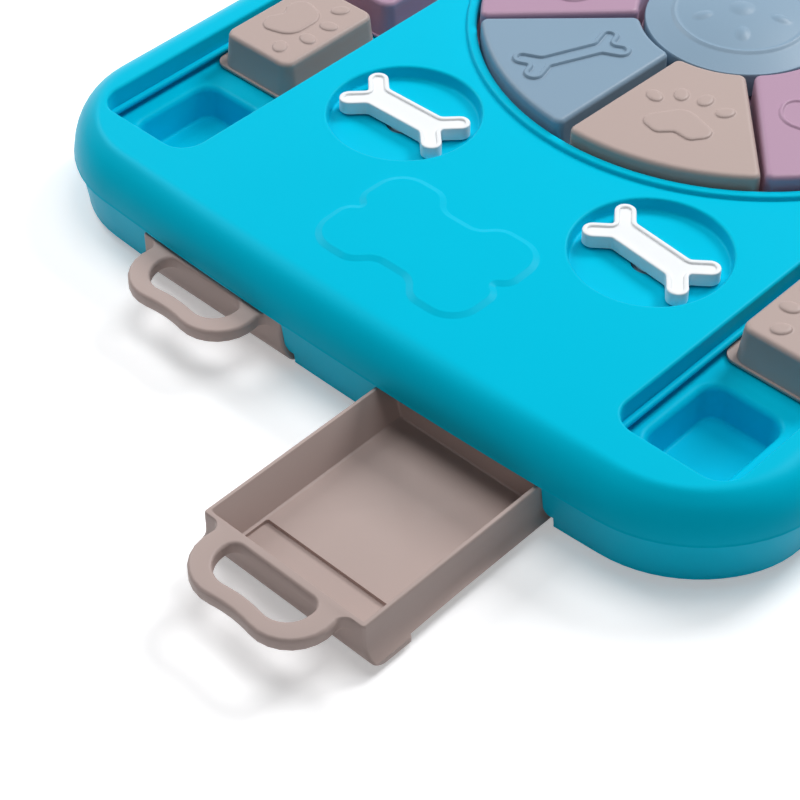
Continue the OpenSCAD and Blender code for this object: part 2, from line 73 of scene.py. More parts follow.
# middle of the front right channel, so Y is negative
CHANNEL_X = (tray_low[0] + tray_high[0]) / 2
CHANNEL_Y = (tray_low[1] + tray_high[1]) / 2
slider_low, slider_high = corners("slider_front_right_taupe")
PITCH = corners("slider_front_right_mauve")[0][1] - slider_low[1]
FLANGE_W = slider_high[0] - slider_low[0]
FLANGE_L = slider_high[1] - slider_low[1]
SLIDER_LOW = slider_low[2]
knob_high = corners("knob")[1]
KNOB_R = knob_high[0]
KNOB_TOP = knob_high[2]
drawer_low, drawer_high = corners("drawer_front_left")
DRAWER_X = -(drawer_low[0] + drawer_high[0]) / 2
DRAWER_RIM = drawer_high[2]
BONE_TOP = corners("bone_back_right")[1][2]
screw_low, screw_high = corners("bone_screw_back_right")
BONE_X = (screw_low[0] + screw_high[0]) / 2
BONE_Y = (screw_low[1] + screw_high[1]) / 2

# Driving sizes of the shells; UNDER is the deck's underside
DECK = 36.0
WALL = 2.6
UNDER = DECK - WALL
CORNER_R = 46.7
EDGE_H = DECK - PARTING
EDGE_R = 13.3
BOW = 6.0
RELIEF_Y = BOARD_L / 2 - 48.3
WHEEL_R = 96.3
RIM_TOP = 37.6
TRAY_LAP = 2.2
CHANNEL_W = TRAY_W - 2 * TRAY_LAP
CHANNEL_L = TRAY_L - 2 * TRAY_LAP
CHANNEL_R = 9.0
RAIL_W = 2.6
RAIL_Z = 28.0
RECESS_R = 26.6
RECESS_FLOOR = 31.3
HOLE_R = 6.4

# Driving sizes of the moving pieces
SLIDER_TOP = 39.8
BLOCK_TOP = 42.0
BLOCK_LOW = 28.3
HALF_PLACE = 22.5
HUB_RISE = 1.1
MOTIF_R = (KNOB_R + WHEEL_R) / 2 + 2.3
KNOB_LOW = 31.0
BONE_LOW = BONE_TOP - 5.2
DRAWER_W = 66.8
DRAWER_L = 82.4
DRAWER_LOW = 2.0
DRAWER_FOOT = 4.6
DRAWER_FLOOR = 6.2
LOOP_LOW = DRAWER_RIM - 4.7
FLARE = 3.4

# Edges that bend more than this are drawn sharp
CREASE = 34

# Signs of X and Y for what stands in each quarter, side or end
QUARTERS = ((1, 1), (-1, 1), (1, -1), (-1, -1))
SIDES = {"right": 1, "left": -1}
ENDS = {"front": -1, "back": 1}


# ---- outlines: rows of x, y and the outward normal ----------------------

def cos_sin(angle):
    """Cosine and sine of an angle."""
    return math.cos(math.radians(angle)), math.sin(math.radians(angle))


def moved(outline, x=0, y=0, turn=0):
    """Outline turned about the origin, then moved."""
    c, s = cos_sin(turn)
    spin = np.array(((c, s), (-s, c)))
    return np.hstack([outline[:, :2] @ spin + (x, y), outline[:, 2:] @ spin])


def rounded_polygon(corner_list, steps):
    """Outline of an anticlockwise polygon whose corners (x, y, radius) are rounded."""
    rows = []
    for i, (x, y, radius) in enumerate(corner_list):
        here = np.array((x, y), float)
        after = np.array(corner_list[(i + 1) % len(corner_list)][:2], float)
        into = here - np.array(corner_list[i - 1][:2], float)
        out = after - here
        into /= np.linalg.norm(into)
        out /= np.linalg.norm(out)
        bend = math.atan2(into[0] * out[1] - into[1] * out[0], into @ out)
        side = math.copysign(1, bend)
        start = here - into * radius * math.tan(abs(bend) / 2)
        right = np.array((into[1], -into[0]))
        centre = start - side * radius * right
        for k in range(steps + 1):
            c, s = math.cos(bend * k / steps), math.sin(bend * k / steps)
            normal = np.array((right[0] * c - right[1] * s, right[0] * s + right[1] * c))
            rows.append((*(centre + side * radius * normal), *normal))
    return np.array(rows)


def rectangle(width, length, radius, steps=8, across=1, along=1):
    """Rounded rectangle; its straight sides are divided across and along."""
    w, l = width / 2, length / 2
    turned = rounded_polygon([(w, -l, radius), (w, l, radius), (-w, l, radius), (-w, -l, radius)], steps)
    rows = []
    for i, row in enumerate(turned):
        rows.append(row)
        after = turned[(i + 1) % len(turned)]
        parts = 1
        if (i + 1) % (steps + 1) == 0:
            parts = along if abs(row[2]) > 0.5 else across
        for k in range(1, parts):
            rows.append(row + (after - row) * k / parts)
    return np.array(rows)


def ellipse(x, y, long_r, short_r, turn=0, steps=24):
    """Ellipse about (x, y), its long axis turned from X."""
    a = np.linspace(0, 2 * math.pi, steps, endpoint=False)
    points = np.stack([long_r * np.cos(a), short_r * np.sin(a)], 1)
    normals = np.stack([np.cos(a) / long_r, np.sin(a) / short_r], 1)
    normals /= np.linalg.norm(normals, axis=1)[:, None]
    return moved(np.hstack([points, normals]), x, y, turn)


def circle(radius, steps):
    """Circle about the origin."""
    return ellipse(0, 0, radius, radius, 0, steps)


def four_quarters(quarter, steps):
    """Outline from the corners of its first quarter; the first of them lies on the X axis."""
    half = quarter + [(-x, y, r) for x, y, r in quarter[:0:-1]]
    return rounded_polygon(half + [(-x, -y, r) for x, y, r in half], steps)


def bone_outline(reach, spread, arm, shaft, angle, notch, waist=2.6):
    """Bone along X: arm tips centred at reach and spread, arm and shaft half-widths."""
    c, s = cos_sin(angle)
    along = np.array((c, s)) * arm
    across = np.array((-s, c)) * arm
    tip = np.array((reach, spread))
    low, high = tip - across, tip + across
    tip_round = arm * 0.98
    notch_x = low[0] - low[1] * c / s
    waist_x = high[0] - (high[1] - shaft) * c / s
    return four_quarters([(notch_x, 0, notch), (*(low + along), tip_round), (*(high + along), tip_round),
                          (waist_x, shaft, waist)], 7)


def plump_bone():
    """Outline of the low bone on the deck, along X."""
    return four_quarters([(27.5, 0, 1.8), (33.4, 3.5, 6), (33, 23, 10.5), (13.5, 23, 8), (7.5, 16, 8)], 8)


def wheel_pad():
    """Three-lobed pad of a paw, its point towards -X."""
    return rounded_polygon([(-9.0, 0, 6.0), (2.2, -15.6, 4.2), (8.4, -6.0, 3.6), (5.6, 0, 2.4),
                            (8.4, 6.0, 3.6), (2.2, 15.6, 4.2)], 8)


def slider_pad():
    """Broad pad of a paw, round towards -X."""
    return rounded_polygon([(-8.4, 8.4, 7.4), (-8.4, -8.4, 7.4), (5.0, -12.4, 4.6), (7.4, -5.0, 3.4),
                            (4.4, 0, 2.4), (7.4, 5.0, 3.4), (5.0, 12.4, 4.6)], 8)


def heart_outline():
    """Heart along X with its point outward."""
    return rounded_polygon([(15, 0, 1.6), (-6, 17.4, 8), (-15.6, 8.6, 5.6), (-10, 0, 1.8),
                            (-15.6, -8.6, 5.6), (-6, -17.4, 8)], 8)


def arcs(parts, steps=8):
    """Outline that joins arcs (x, y, radius, start, end); an arc that turns clockwise is hollow."""
    rows = []
    for x, y, radius, start, end in parts:
        side = 1 if end > start else -1
        for angle in np.linspace(start, end, steps + 1):
            c, s = cos_sin(angle)
            rows.append((x + radius * c, y + radius * s, side * c, side * s))
    return np.array(rows)


def mirrored(parts):
    """The same arcs on the other side of X = 0, in running order."""
    return [(-x, y, radius, 180 - end, 180 - start) for x, y, radius, start, end in reversed(parts)]


def sector_outline(inner, outer, gap, radius):
    """Wheel block seen from above, centred on +X, its sides held back from its place by gap."""
    far = HALF_PLACE - math.degrees(math.asin((gap + radius) / (outer - radius)))
    near = HALF_PLACE - math.degrees(math.asin((gap + radius) / (inner + radius)))

    def corner(r, angle, start, end):
        c, s = cos_sin(angle)
        return (r * c, r * s, radius, start, end)

    return arcs([
        (0, 0, outer, 0.5 - far, far - 0.5),
        corner(outer - radius, far, far, HALF_PLACE + 90),
        corner(inner + radius, near, HALF_PLACE + 90, near + 180),
        (0, 0, inner, near - 0.5, 0.5 - near),
        corner(inner + radius, -near, 180 - near, 270 - HALF_PLACE),
        corner(outer - radius, -far, 270 - HALF_PLACE, 360 - far),
    ], 12)


def fillet(d, z, radius, start, end, steps=4, tall=None):
    """Profile points (offset, height) of an arc about (d, z), or of an ellipse that is tall high."""
    points = []
    for angle in np.linspace(start, end, steps + 1):
        c, s = cos_sin(angle)
        points.append((d + radius * c, z + (tall or radius) * s))
    return points


# ---- mesh building -------------------------------------------------------

class Shape:
    """Points and faces of one piece, in millimetres."""

    def __init__(self):
        self.points = []
        self.faces = []

    def ring(self, outline, offset, z):
        """Points of an outline, moved outward by offset, at a height; returns their numbers."""
        first = len(self.points)
        for x, y, nx, ny in outline:
            self.points.append((x + offset * nx, y + offset * ny, z))
        return list(range(first, len(self.points)))

    def skin(self, rings):
        """Faces between each ring and the next."""
        for ring_a, ring_b in zip(rings, rings[1:]):
            for i in range(len(ring_a)):
                j = (i + 1) % len(ring_a)
                self.faces.append((ring_a[i], ring_a[j], ring_b[j], ring_b[i]))

    def loft(self, outline, profile):
        """Skin along the profile's (offset, height) points; returns its end rings."""
        rings = [self.ring(outline, d, z) for d, z in profile]
        self.skin(rings)
        return rings[0], rings[-1]

    def plate(self, outer, holes=()):
        """Flat face inside a ring and outside the rings of its holes."""
        loops = [outer, *holes]
        order = [i for loop in loops for i in loop]
        flat = [Vector(self.points[i][:2]) for i in order]
        edges = []
        first = 0
        for loop in loops:
            edges += [(first + k, first + (k + 1) % len(loop)) for k in range(len(loop))]
            first += len(loop)
        _, _, triangles, sources, _, _ = delaunay_2d_cdt(flat, edges, [], 0, 1e-7)
        polygons = [np.array([self.points[i][:2] for i in loop]) for loop in loops]
        for triangle in triangles:
            ids = [order[sources[v][0]] for v in triangle]
            middle = np.mean([self.points[i][:2] for i in ids], axis=0)
            if inside(middle, polygons[0]) and not any(inside(middle, p) for p in polygons[1:]):
                self.faces.append(tuple(ids))

    def solid(self, outline, profile):
        """Closed body: skin with a flat face at each end."""
        low, high = self.loft(outline, profile)
        self.plate(high)
        self.plate(low)


def inside(point, polygon):
    """Whether a point lies in a polygon, by counting crossings."""
    x, y = point
    a, b = polygon, np.roll(polygon, -1, axis=0)
    crosses = (a[:, 1] > y) != (b[:, 1] > y)
    with np.errstate(divide="ignore", invalid="ignore"):
        at = a[:, 0] + (y - a[:, 1]) * (b[:, 0] - a[:, 0]) / (b[:, 1] - a[:, 1])
    return bool(np.count_nonzero(crosses & (x < at)) % 2)


def ease(t):
    """Smooth step from 0 to 1."""
    t = min(max(t, 0), 1)
    return t * t * (3 - 2 * t)


def bump_shape(t):
    """Smooth bump that is 1 at 0 and 0 from 1 on."""
    return (1 - t * t) ** 2 * (1 + t * t) if abs(t) < 1 else 0.0


def bowed(points):
    """Points with both ends of the board bowed: near the edge, the corners are drawn in by BOW."""
    start, run = 130, 80
    band, fade = 17, 11
    out = []
    for x, y, z in points:
        across = max(abs(x) - BOARD_W / 2 + CORNER_R, 0)
        along = max(abs(y) - BOARD_L / 2 + CORNER_R, 0)
        inward = CORNER_R - math.hypot(across, along)
        share = ease((abs(y) - start) / run) * ease((band - inward) / fade)
        out.append((x, y - math.copysign(BOW * (x / (BOARD_W / 2)) ** 2 * share, y), z))
    return out


def make_piece(name, shape, body, slot, nodes=(), flip=(1, 1), turn=0, place=(0, 0)):
    """Blender object of a shape, turned about Z, put in its place and mirrored by flip.

    It stands in for the CAD nodes, or for the node of its own name where none are given.
    """
    c, s = cos_sin(turn)
    points = [((x * c - y * s + place[0]) * flip[0] * MM, (x * s + y * c + place[1]) * flip[1] * MM, z * MM)
              for x, y, z in shape.points]
    mesh = bpy.data.meshes.new(name)
    mesh.from_pydata(points, [], shape.faces)
    work = bmesh.new()
    work.from_mesh(mesh)
    bmesh.ops.recalc_face_normals(work, faces=work.faces)
    work.to_mesh(mesh)
    work.free()
    mesh.shade_smooth()
    mesh.set_sharp_from_angle(angle=math.radians(CREASE))
    mesh.materials.append(MATERIALS[slot])
    piece = bpy.data.objects.new(name, mesh)
    bpy.context.scene.collection.objects.link(piece)
    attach(piece, body)
    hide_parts(*(nodes or (name,)))


# ---- materials -----------------------------------------------------------

def srgb(red, green, blue):
    """Linear colour of 0 to 255 screen values."""
    return tuple(((v / 255 + 0.055) / 1.055) ** 2.4 if v > 10 else v / 255 / 12.92
                 for v in (red, green, blue))


def plastic(name, colour, roughness, specular, mottle=0.03, grain=0.05, sheen=(1, 1, 1)):
    """Moulded plastic: faint flow marks in the colour, a fine spark-eroded grain, tinted reflections."""
    material = bpy.data.materials.new(name)
    material.use_nodes = True
    nodes, links = material.node_tree.nodes, material.node_tree.links
    shader = nodes["Principled BSDF"]
    place = nodes.new("ShaderNodeTexCoord")
    flow = nodes.new("ShaderNodeTexNoise")
    flow.inputs["Scale"].default_value = 14
    flow.inputs["Detail"].default_value = 3
    links.new(place.outputs["Object"], flow.inputs["Vector"])
    tint = nodes.new("ShaderNodeMix")
    tint.data_type = "RGBA"
    tint.inputs[6].default_value = (*(v * (1 - mottle) for v in colour), 1)
    tint.inputs[7].default_value = (*(min(v * (1 + mottle), 1) for v in colour), 1)
    links.new(flow.outputs["Fac"], tint.inputs[0])
    links.new(tint.outputs[2], shader.inputs["Base Color"])
    fine = nodes.new("ShaderNodeTexNoise")
    fine.inputs["Scale"].default_value = 1500
    fine.inputs["Detail"].default_value = 2
    links.new(place.outputs["Object"], fine.inputs["Vector"])
    bump = nodes.new("ShaderNodeBump")
    bump.inputs["Strength"].default_value = grain
    bump.inputs["Distance"].default_value = 0.0004
    links.new(fine.outputs["Fac"], bump.inputs["Height"])
    links.new(bump.outputs["Normal"], shader.inputs["Normal"])
    shine = nodes.new("ShaderNodeMapRange")
    spread = 0.05
    shine.inputs["To Min"].default_value = roughness - spread
    shine.inputs["To Max"].default_value = roughness + spread
    links.new(fine.outputs["Fac"], shine.inputs["Value"])
    links.new(shine.outputs["Result"], shader.inputs["Roughness"])
    shader.inputs["Specular IOR Level"].default_value = specular
    shader.inputs["Specular Tint"].default_value = (*sheen, 1)
    return material


def screw_steel(name):
    """Zinc-plated steel of the screws."""
    material = plastic(name, (0.55, 0.56, 0.58), roughness=0.32, specular=0.5, mottle=0.06, grain=0.12)
    material.node_tree.nodes["Principled BSDF"].inputs["Metallic"].default_value = 1
    return material


PLASTICS = {
    "turquoise_plastic": dict(colour=srgb(0, 190, 222), roughness=0.36, specular=0.09,
                              sheen=(0.05, 0.75, 1)),
    "taupe_plastic": dict(colour=srgb(178, 159, 153), roughness=0.46, specular=0.3),
    "mauve_plastic": dict(colour=srgb(172, 138, 162), roughness=0.44, specular=0.35),
    "slate_plastic": dict(colour=srgb(126, 152, 173), roughness=0.44, specular=0.35),
    "white_plastic": dict(colour=srgb(238, 241, 243), roughness=0.35, specular=0.4, mottle=0.01),
    "rubber": dict(colour=srgb(40, 40, 42), roughness=0.7, specular=0.2, mottle=0.06, grain=0.15),
}
MATERIALS = {name: plastic(name, **look) for name, look in PLASTICS.items()}
MATERIALS["steel"] = screw_steel("steel")

for sub in frame["record"]["subparts"]:
    slots = frame["nodes"][sub["node"]].data.materials
    slots.clear()
    slots.append(MATERIALS[sub["material_slot"]])


# ---- shells --------------------------------------------------------------

def edge_profile():
    """Down the deck's round edge, round the lip at the parting line and up inside."""
    outer = [(-EDGE_R - 0.4, DECK)] + fillet(-EDGE_R, PARTING, EDGE_R, 90, 5, 16, EDGE_H)
    lip = [(-0.02, 1.0), (0.16, 0.75), (0.2, 0.45), (0.1, 0.15), (-0.2, 0), (0.2 - WALL, 0), (-WALL, 0.3)]
    inner = fillet(-EDGE_R, PARTING, EDGE_R - WALL, 3, 90, 8, EDGE_H - WALL)
    return outer + [(d, PARTING + up) for d, up in lip] + inner


def rim_profile():
    """Wheel rim: from the deck over its round top and down to the lip over the blocks' flanges."""
    lip, skirt = 30.4, 28.1
    return ([(4.4, DECK), (4.1, DECK), (3.95, DECK + 0.2)]
            + fillet(2.7, RIM_TOP - 1.1, 1.1, 0, 90, 4)
            + fillet(1.3, RIM_TOP - 1.3, 1.3, 90, 180, 5)
            + [(0, lip + 0.3), (0.3, lip), (1.3, lip), (1.3, skirt), (3.0, skirt), (3.0, UNDER)])


def channel_profile():
    """Wall of a channel's opening, from its round edge down to the tray."""
    foot = TRAY_TOP + 0.1
    return ([(1.3, DECK)] + fillet(1.1, DECK - 1.1, 1.1, 90, 180, 5)
            + [(0, foot), (1.7, foot), (1.7, UNDER)])


def recess_profile():
    """Recess of a bone: round edge, wall, floor, the hub's hole, and back under the floor."""
    cove = 0.9
    hole = HOLE_R - RECESS_R
    below = RECESS_FLOOR - 2.5
    return ([(1.8, DECK)] + fillet(1.6, DECK - 1.0, 1.0, 90, 180, 4)
            + [(0.15, RECESS_FLOOR + cove)] + fillet(-0.75, RECESS_FLOOR + cove, cove, 0, -90, 4)
            + [(hole + 0.2, RECESS_FLOOR), (hole, RECESS_FLOOR - 0.2), (hole, below),
               (2.4, below), (2.4, UNDER)])


def soft_step():
    """Smooth low step up from the deck, with a flat ring on either side."""
    half, rise, steps = 1.1, 0.75, 8
    slope = [(half * math.cos(math.pi * k / steps), DECK + rise * ease(k / steps)) for k in range(steps + 1)]
    return [(half + 0.3, DECK)] + slope + [(-half - 0.3, DECK + rise)]


def channel_rails(shape):
    """Round rails low on both long walls of each channel."""
    for sx, sy in QUARTERS:
        for side in (-1, 1):
            x = sx * CHANNEL_X + side * (CHANNEL_W / 2 - 1.2)
            rail = moved(rectangle(RAIL_W, CHANNEL_L + 1, RAIL_W / 2 - 0.01, 6), x, sy * CHANNEL_Y)
            shape.solid(rail, fillet(-1, RAIL_Z, 1, -90, 0) + fillet(-1, RAIL_Z + 0.1, 1, 0, 90))


def upper_shell():
    """Deck with its rounded edge, wheel rim, channel walls and bone recesses."""
    shape = Shape()
    board = rectangle(BOARD_W, BOARD_L, CORNER_R, 14, across=12, along=4)
    top_ring, under_ring = shape.loft(board, edge_profile())
    channel = rectangle(CHANNEL_W, CHANNEL_L, CHANNEL_R)
    holes = [(circle(WHEEL_R, 160), rim_profile())]
    for sx, sy in QUARTERS:
        holes.append((moved(channel, sx * CHANNEL_X, sy * CHANNEL_Y), channel_profile()))
        holes.append((moved(circle(RECESS_R, 72), sx * BONE_X, sy * BONE_Y), recess_profile()))
    top_holes, under_holes = [], []
    for outline, profile in holes:
        top, bottom = shape.loft(outline, profile)
        top_holes.append(top)
        under_holes.append(bottom)
    for sy in (1, -1):
        foot, top = shape.loft(moved(plump_bone(), 0, sy * RELIEF_Y), soft_step())
        shape.plate(top)
        top_holes.append(foot)
    shape.plate(top_ring, top_holes)
    shape.plate(under_ring, under_holes)
    channel_rails(shape)
    shape.points = bowed(shape.points)
    frames = [f"channel_frame_{end}_{side}" for end in ENDS for side in SIDES]
    make_piece("upper_shell", shape, "base", "turquoise_plastic", ("upper_shell", "wheel_rim", *frames))


def lower_shell():
    """Floor and side walls of the base, cut into strips and bowed like the lip above them."""
    work = bmesh.new()
    nodes = ("lower_shell_floor", "lower_shell_walls")
    for node in nodes:
        work.from_mesh(frame["nodes"][node].data)
    bmesh.ops.remove_doubles(work, verts=work.verts, dist=1e-7)
    strip = 12
    for x in np.arange(strip - BOARD_W / 2, BOARD_W / 2, strip):
        bmesh.ops.bisect_plane(work, geom=work.verts[:] + work.edges[:] + work.faces[:],
                               plane_co=(x * MM, 0, 0), plane_no=(1, 0, 0))
    shape = Shape()
    work.verts.index_update()
    shape.points = bowed([tuple(v.co / MM) for v in work.verts])
    shape.faces = [tuple(v.index for v in face.verts) for face in work.faces]
    work.free()
    make_piece("lower_shell", shape, "base", "turquoise_plastic", nodes)


def channel_tray():
    """Floor of a channel with its three treat pockets."""
    shape = Shape()
    wall = 2.0
    floor = TRAY_BOTTOM + wall
    sheet = [(0, TRAY_TOP - wall), (0, TRAY_TOP)]
    low, high = shape.loft(rectangle(TRAY_W, TRAY_L, CHANNEL_R + TRAY_LAP), sheet)
    inner = ([(2.7, TRAY_TOP)] + fillet(2.5, TRAY_TOP - 2.5, 2.5, 90, 180, 7)
             + fillet(-2.6, floor + 1.1, 1.1, 0, -90, 5) + [(-2.9, floor)])
    outer = ([(2.4, TRAY_TOP - wall), (1.0, TRAY_BOTTOM + 3)]
             + fillet(-2, TRAY_BOTTOM + 3, 3, 0, -90, 4))
    pocket_w, pocket_l, pocket_r = 29.4, 36.6, 6.6
    shift_x, shift_y = -1.1, -0.8
    mouths, cups = [], []
    for k in (-1, 0, 1):
        pocket = moved(rectangle(pocket_w, pocket_l, pocket_r), shift_x, k * PITCH + shift_y)
        for profile, rings in ((inner, mouths), (outer, cups)):
            ring, bottom = shape.loft(pocket, profile)
            shape.plate(bottom)
            rings.append(ring)
    shape.plate(high, mouths)
    shape.plate(low, cups)
    return shape


# ---- relief motifs -------------------------------------------------------

def ridge(shape, outline, z, rise=1.0, half=1.05):
    """Raised line along an outline; returns its outer foot for the plate around it."""
    up = [(half + 0.6, z), (half + 0.35, z), (half + 0.1, z + 0.12), (half - 0.15, z + 0.7 * rise),
          (half - 0.5, z + rise)]
    down = [(-d, height) for d, height in reversed(up)]
    foot, middle = shape.loft(outline, up + down)
    shape.plate(middle)
    return foot


def pillow(shape, outline, z, slope=1.3):
    """Raised island with a round edge; returns its foot for the plate around it."""
    rise = 0.8
    foot_profile = [(0.7, z), (0.45, z), (0.1, z + 0.08)]
    top_profile = fillet(-slope, z, slope, 10, 90, 5, rise) + [(-slope - 0.2, z + rise)]
    foot, top = shape.loft(outline, foot_profile + top_profile)
    shape.plate(top)
    return foot


def paw(shape, x, z, pad, toes):
    """Paw as five raised islands: a pad, and toes (x, y, turn)."""
    feet = [pillow(shape, moved(pad, x), z)]
    for toe_x, toe_y, turn in toes:
        feet.append(pillow(shape, ellipse(x + toe_x, toe_y, 3.7, 2.8, turn), z, slope=1.6))
    return feet


def slider_paw(shape):
    """Paw on a sliding block, its toes towards the middle of the board."""
    toes = ((-9.4, -15.6, 50), (-13.4, -5.4, 14), (-13.4, 5.4, -14), (-9.4, 15.6, -50))
    return paw(shape, 3.9, SLIDER_TOP, slider_pad(), toes)


def wheel_paw(shape):
    """Paw on a wheel block, its toes towards the knob."""
    toes = ((-11.4, -12.9, 50), (-15.5, -4.4, 14), (-15.5, 4.4, -14), (-11.4, 12.9, -50))
    return paw(shape, MOTIF_R + 3.5, BLOCK_TOP, wheel_pad(), toes)


def wheel_bone(shape):
    """Bone on a wheel block, drawn as a raised line."""
    outline = bone_outline(reach=17.0, spread=4.9, arm=2.7, shaft=2.9, angle=40, notch=1.8)
    return [ridge(shape, moved(outline, MOTIF_R), BLOCK_TOP)]


def wheel_heart(shape):
    """Heart on a wheel block, drawn as a thin raised line."""
    return [ridge(shape, moved(heart_outline(), MOTIF_R), BLOCK_TOP, rise=0.7, half=0.7)]


# ---- blocks --------------------------------------------------------------

def block_on_flange(flange, block, hollow, low, top, lean, motif):
    """Hollow block that stands on its thin flange; motif adds the relief on its top."""
    shape = Shape()
    step = low + 1.2
    edge = 1.9
    flange_profile = [(-0.3, low), (0, low + 0.3), (0, step - 0.1), (-0.1, step)]
    foot_profile = [(0.2, step), (0.05, step + 0.05), (0, step + 0.2)]
    top_profile = fillet(-lean - edge, top - edge, edge, 0, 90, 6) + [(-lean - edge - 0.3, top)]
    flange_low, flange_high = shape.loft(flange, flange_profile)
    block_low, block_high = shape.loft(block, foot_profile + top_profile)
    mouth, ceiling = shape.loft(hollow, [(0, low), (0, top - 2.4)])
    shape.plate(flange_low, [mouth])
    shape.plate(ceiling)
    shape.plate(flange_high, [block_low])
    shape.plate(block_high, motif(shape))
    return shape


def slider():
    """Sliding block with its paw."""
    gap, wall = 4.4, 3.0
    flange = rectangle(FLANGE_W, FLANGE_L - 1.4, 5)
    block = rectangle(34.8, PITCH - gap, 5.5)
    hollow = rectangle(29, PITCH - gap - 2 * wall, 3)
    return block_on_flange(flange, block, hollow, SLIDER_LOW, SLIDER_TOP, lean=1.2, motif=slider_paw)


def wheel_block(motif):
    """Wedge-shaped block of the wheel; its top rises a little towards the knob."""
    flange = sector_outline(31, WHEEL_R + 0.7, gap=1.25, radius=0.8)
    block = sector_outline(KNOB_R + 2.0, WHEEL_R - 0.9, gap=1.6, radius=3.2)
    hollow = sector_outline(KNOB_R + 4.4, WHEEL_R - 3.1, gap=3.8, radius=1.2)
    shape = block_on_flange(flange, block, hollow, BLOCK_LOW, BLOCK_TOP, lean=0.3, motif=motif)
    start, run = 32, 8
    shape.points = [(x, y, z + HUB_RISE * ease((z - start) / run) * (WHEEL_R - x) / (WHEEL_R - KNOB_R))
                    for x, y, z in shape.points]
    return shape


# ---- knob and bones ------------------------------------------------------

def knob_height(x, y):
    """Height of the knob's dome with its raised ring, five dots and centre bump."""
    ball = 125.0
    ring_r, ring_half, ring_rise = 24.5, 1.1, 0.55
    dots, dot_at, dot_long, dot_short, dot_rise = 5, 15, 4.6, 3.0, 0.7
    bump_r, bump_rise = 5.2, 0.8
    r = math.hypot(x, y)
    z = KNOB_TOP - bump_rise - ball + math.sqrt(ball * ball - r * r)
    z += ring_rise * bump_shape((r - ring_r) / ring_half)
    for k in range(dots):
        c, s = cos_sin(360 / dots * k + 20)
        u, v = x - dot_at * c, y - dot_at * s
        along, across = u * c + v * s, v * c - u * s
        z += dot_rise * bump_shape(math.hypot(along / dot_long, across / dot_short) * 1.05)
    return z + bump_rise * bump_shape(r / bump_r)


def knob():
    """Domed centre knob."""
    shape = Shape()
    outline = circle(KNOB_R, 192)
    edge = knob_height(KNOB_R - 1, 0)
    foot = [(-16, 0), (-1.2, 0), (-0.6, 0.2), (-0.25, 0.6), (0, 1.2)]
    profile = [(d, KNOB_LOW + up) for d, up in foot]
    profile += [(0, edge - 0.9), (-0.08, edge - 0.45), (-0.35, edge - 0.12)]
    rings = [shape.ring(outline, d, z) for d, z in profile]
    for r in np.linspace(KNOB_R - 0.7, 0.5, 62):
        ring = shape.ring(outline, r - KNOB_R, 0)
        for i in ring:
            x, y, _ = shape.points[i]
            shape.points[i] = (x, y, knob_height(x, y))
        rings.append(ring)
    shape.skin(rings)
    shape.plate(rings[-1])
    return shape


def bone():
    """Turning bone: raised rim round a shallow hollow, on a round hub."""
    shape = Shape()
    outline = bone_outline(reach=19.3, spread=7.5, arm=3.65, shaft=5.7, angle=45, notch=1.4)
    side = [(-0.3, BONE_LOW), (0, BONE_LOW + 0.3)] + fillet(-0.45, BONE_TOP - 0.45, 0.45, 0, 90, 3)
    hollow = fillet(-1.25, BONE_TOP - 0.4, 0.4, 90, 180, 3)[:3] + [(-1.75, BONE_TOP - 0.75)]
    low, top = shape.loft(outline, side + hollow)
    shape.plate(top)
    hub_r, hub_h = 5, 1.2
    hub, hub_low = shape.loft(circle(hub_r, 40), [(0, BONE_LOW), (0, BONE_LOW - hub_h)])
    shape.plate(low, [hub])
    shape.plate(hub_low)
    return shape


# ---- drawers -------------------------------------------------------------

def loop_outline():
    """Plan of the rim with the handle loop; the face lies along y = 0."""
    w = DRAWER_W / 2
    corner = 1.2
    right = [(11, -6.6, 15.2, -100.4, 11.4), (28.84, -3, 3, 191.4, 90),
             (w - corner, corner, corner, -90, 0), (w - corner, DRAWER_L - corner, corner, 0, 90)]
    dent = (0, -66.6, 45.8, 100.4, 79.6)
    return arcs([dent] + right + mirrored(right))


def hole_outline():
    """Finger hole of the handle loop, dented like the loop's outer edge."""
    right = [(9.4, -6.4, 9, -99.7, 0), (14.4, -5.4, 4, 0, 90)]
    dent = (0, -61.2, 46.6, 99.7, 80.3)
    return arcs([dent] + right + mirrored(right))


def side_flare(y, z):
    """How far a drawer's side leans out: early at its front, only at the foot further back."""
    front_start, front_run, back_start = 12.5, 8.5, 7.8
    front = FLARE * max((front_start - z) / front_run, 0) ** 2
    drop = min(max((back_start - z) / FLARE, 0), 1)
    back = FLARE * (1 - math.sqrt(1 - drop * drop))
    share = ease(y / 45)
    return min(front * (1 - share) + back * share, FLARE)


def side_ring(shape, length, z, inset=0.0):
    """Ring of a drawer's outside at a height; its front foot is rounded away."""
    foot_round = 5.0
    fall = max(DRAWER_LOW + foot_round - z, 0)
    lift = foot_round - math.sqrt(foot_round * foot_round - fall * fall) + inset
    corner = 1.2
    outline = rectangle(DRAWER_W, length - lift, corner, 6, along=8)
    ring = shape.ring(moved(outline, 0, (length + lift) / 2), 0, z)
    for i in ring:
        x, y, _ = shape.points[i]
        out = side_flare(y, z) - inset
        shape.points[i] = (x + out * np.clip(x / (DRAWER_W / 2 - corner), -1, 1), y, z)
    return ring


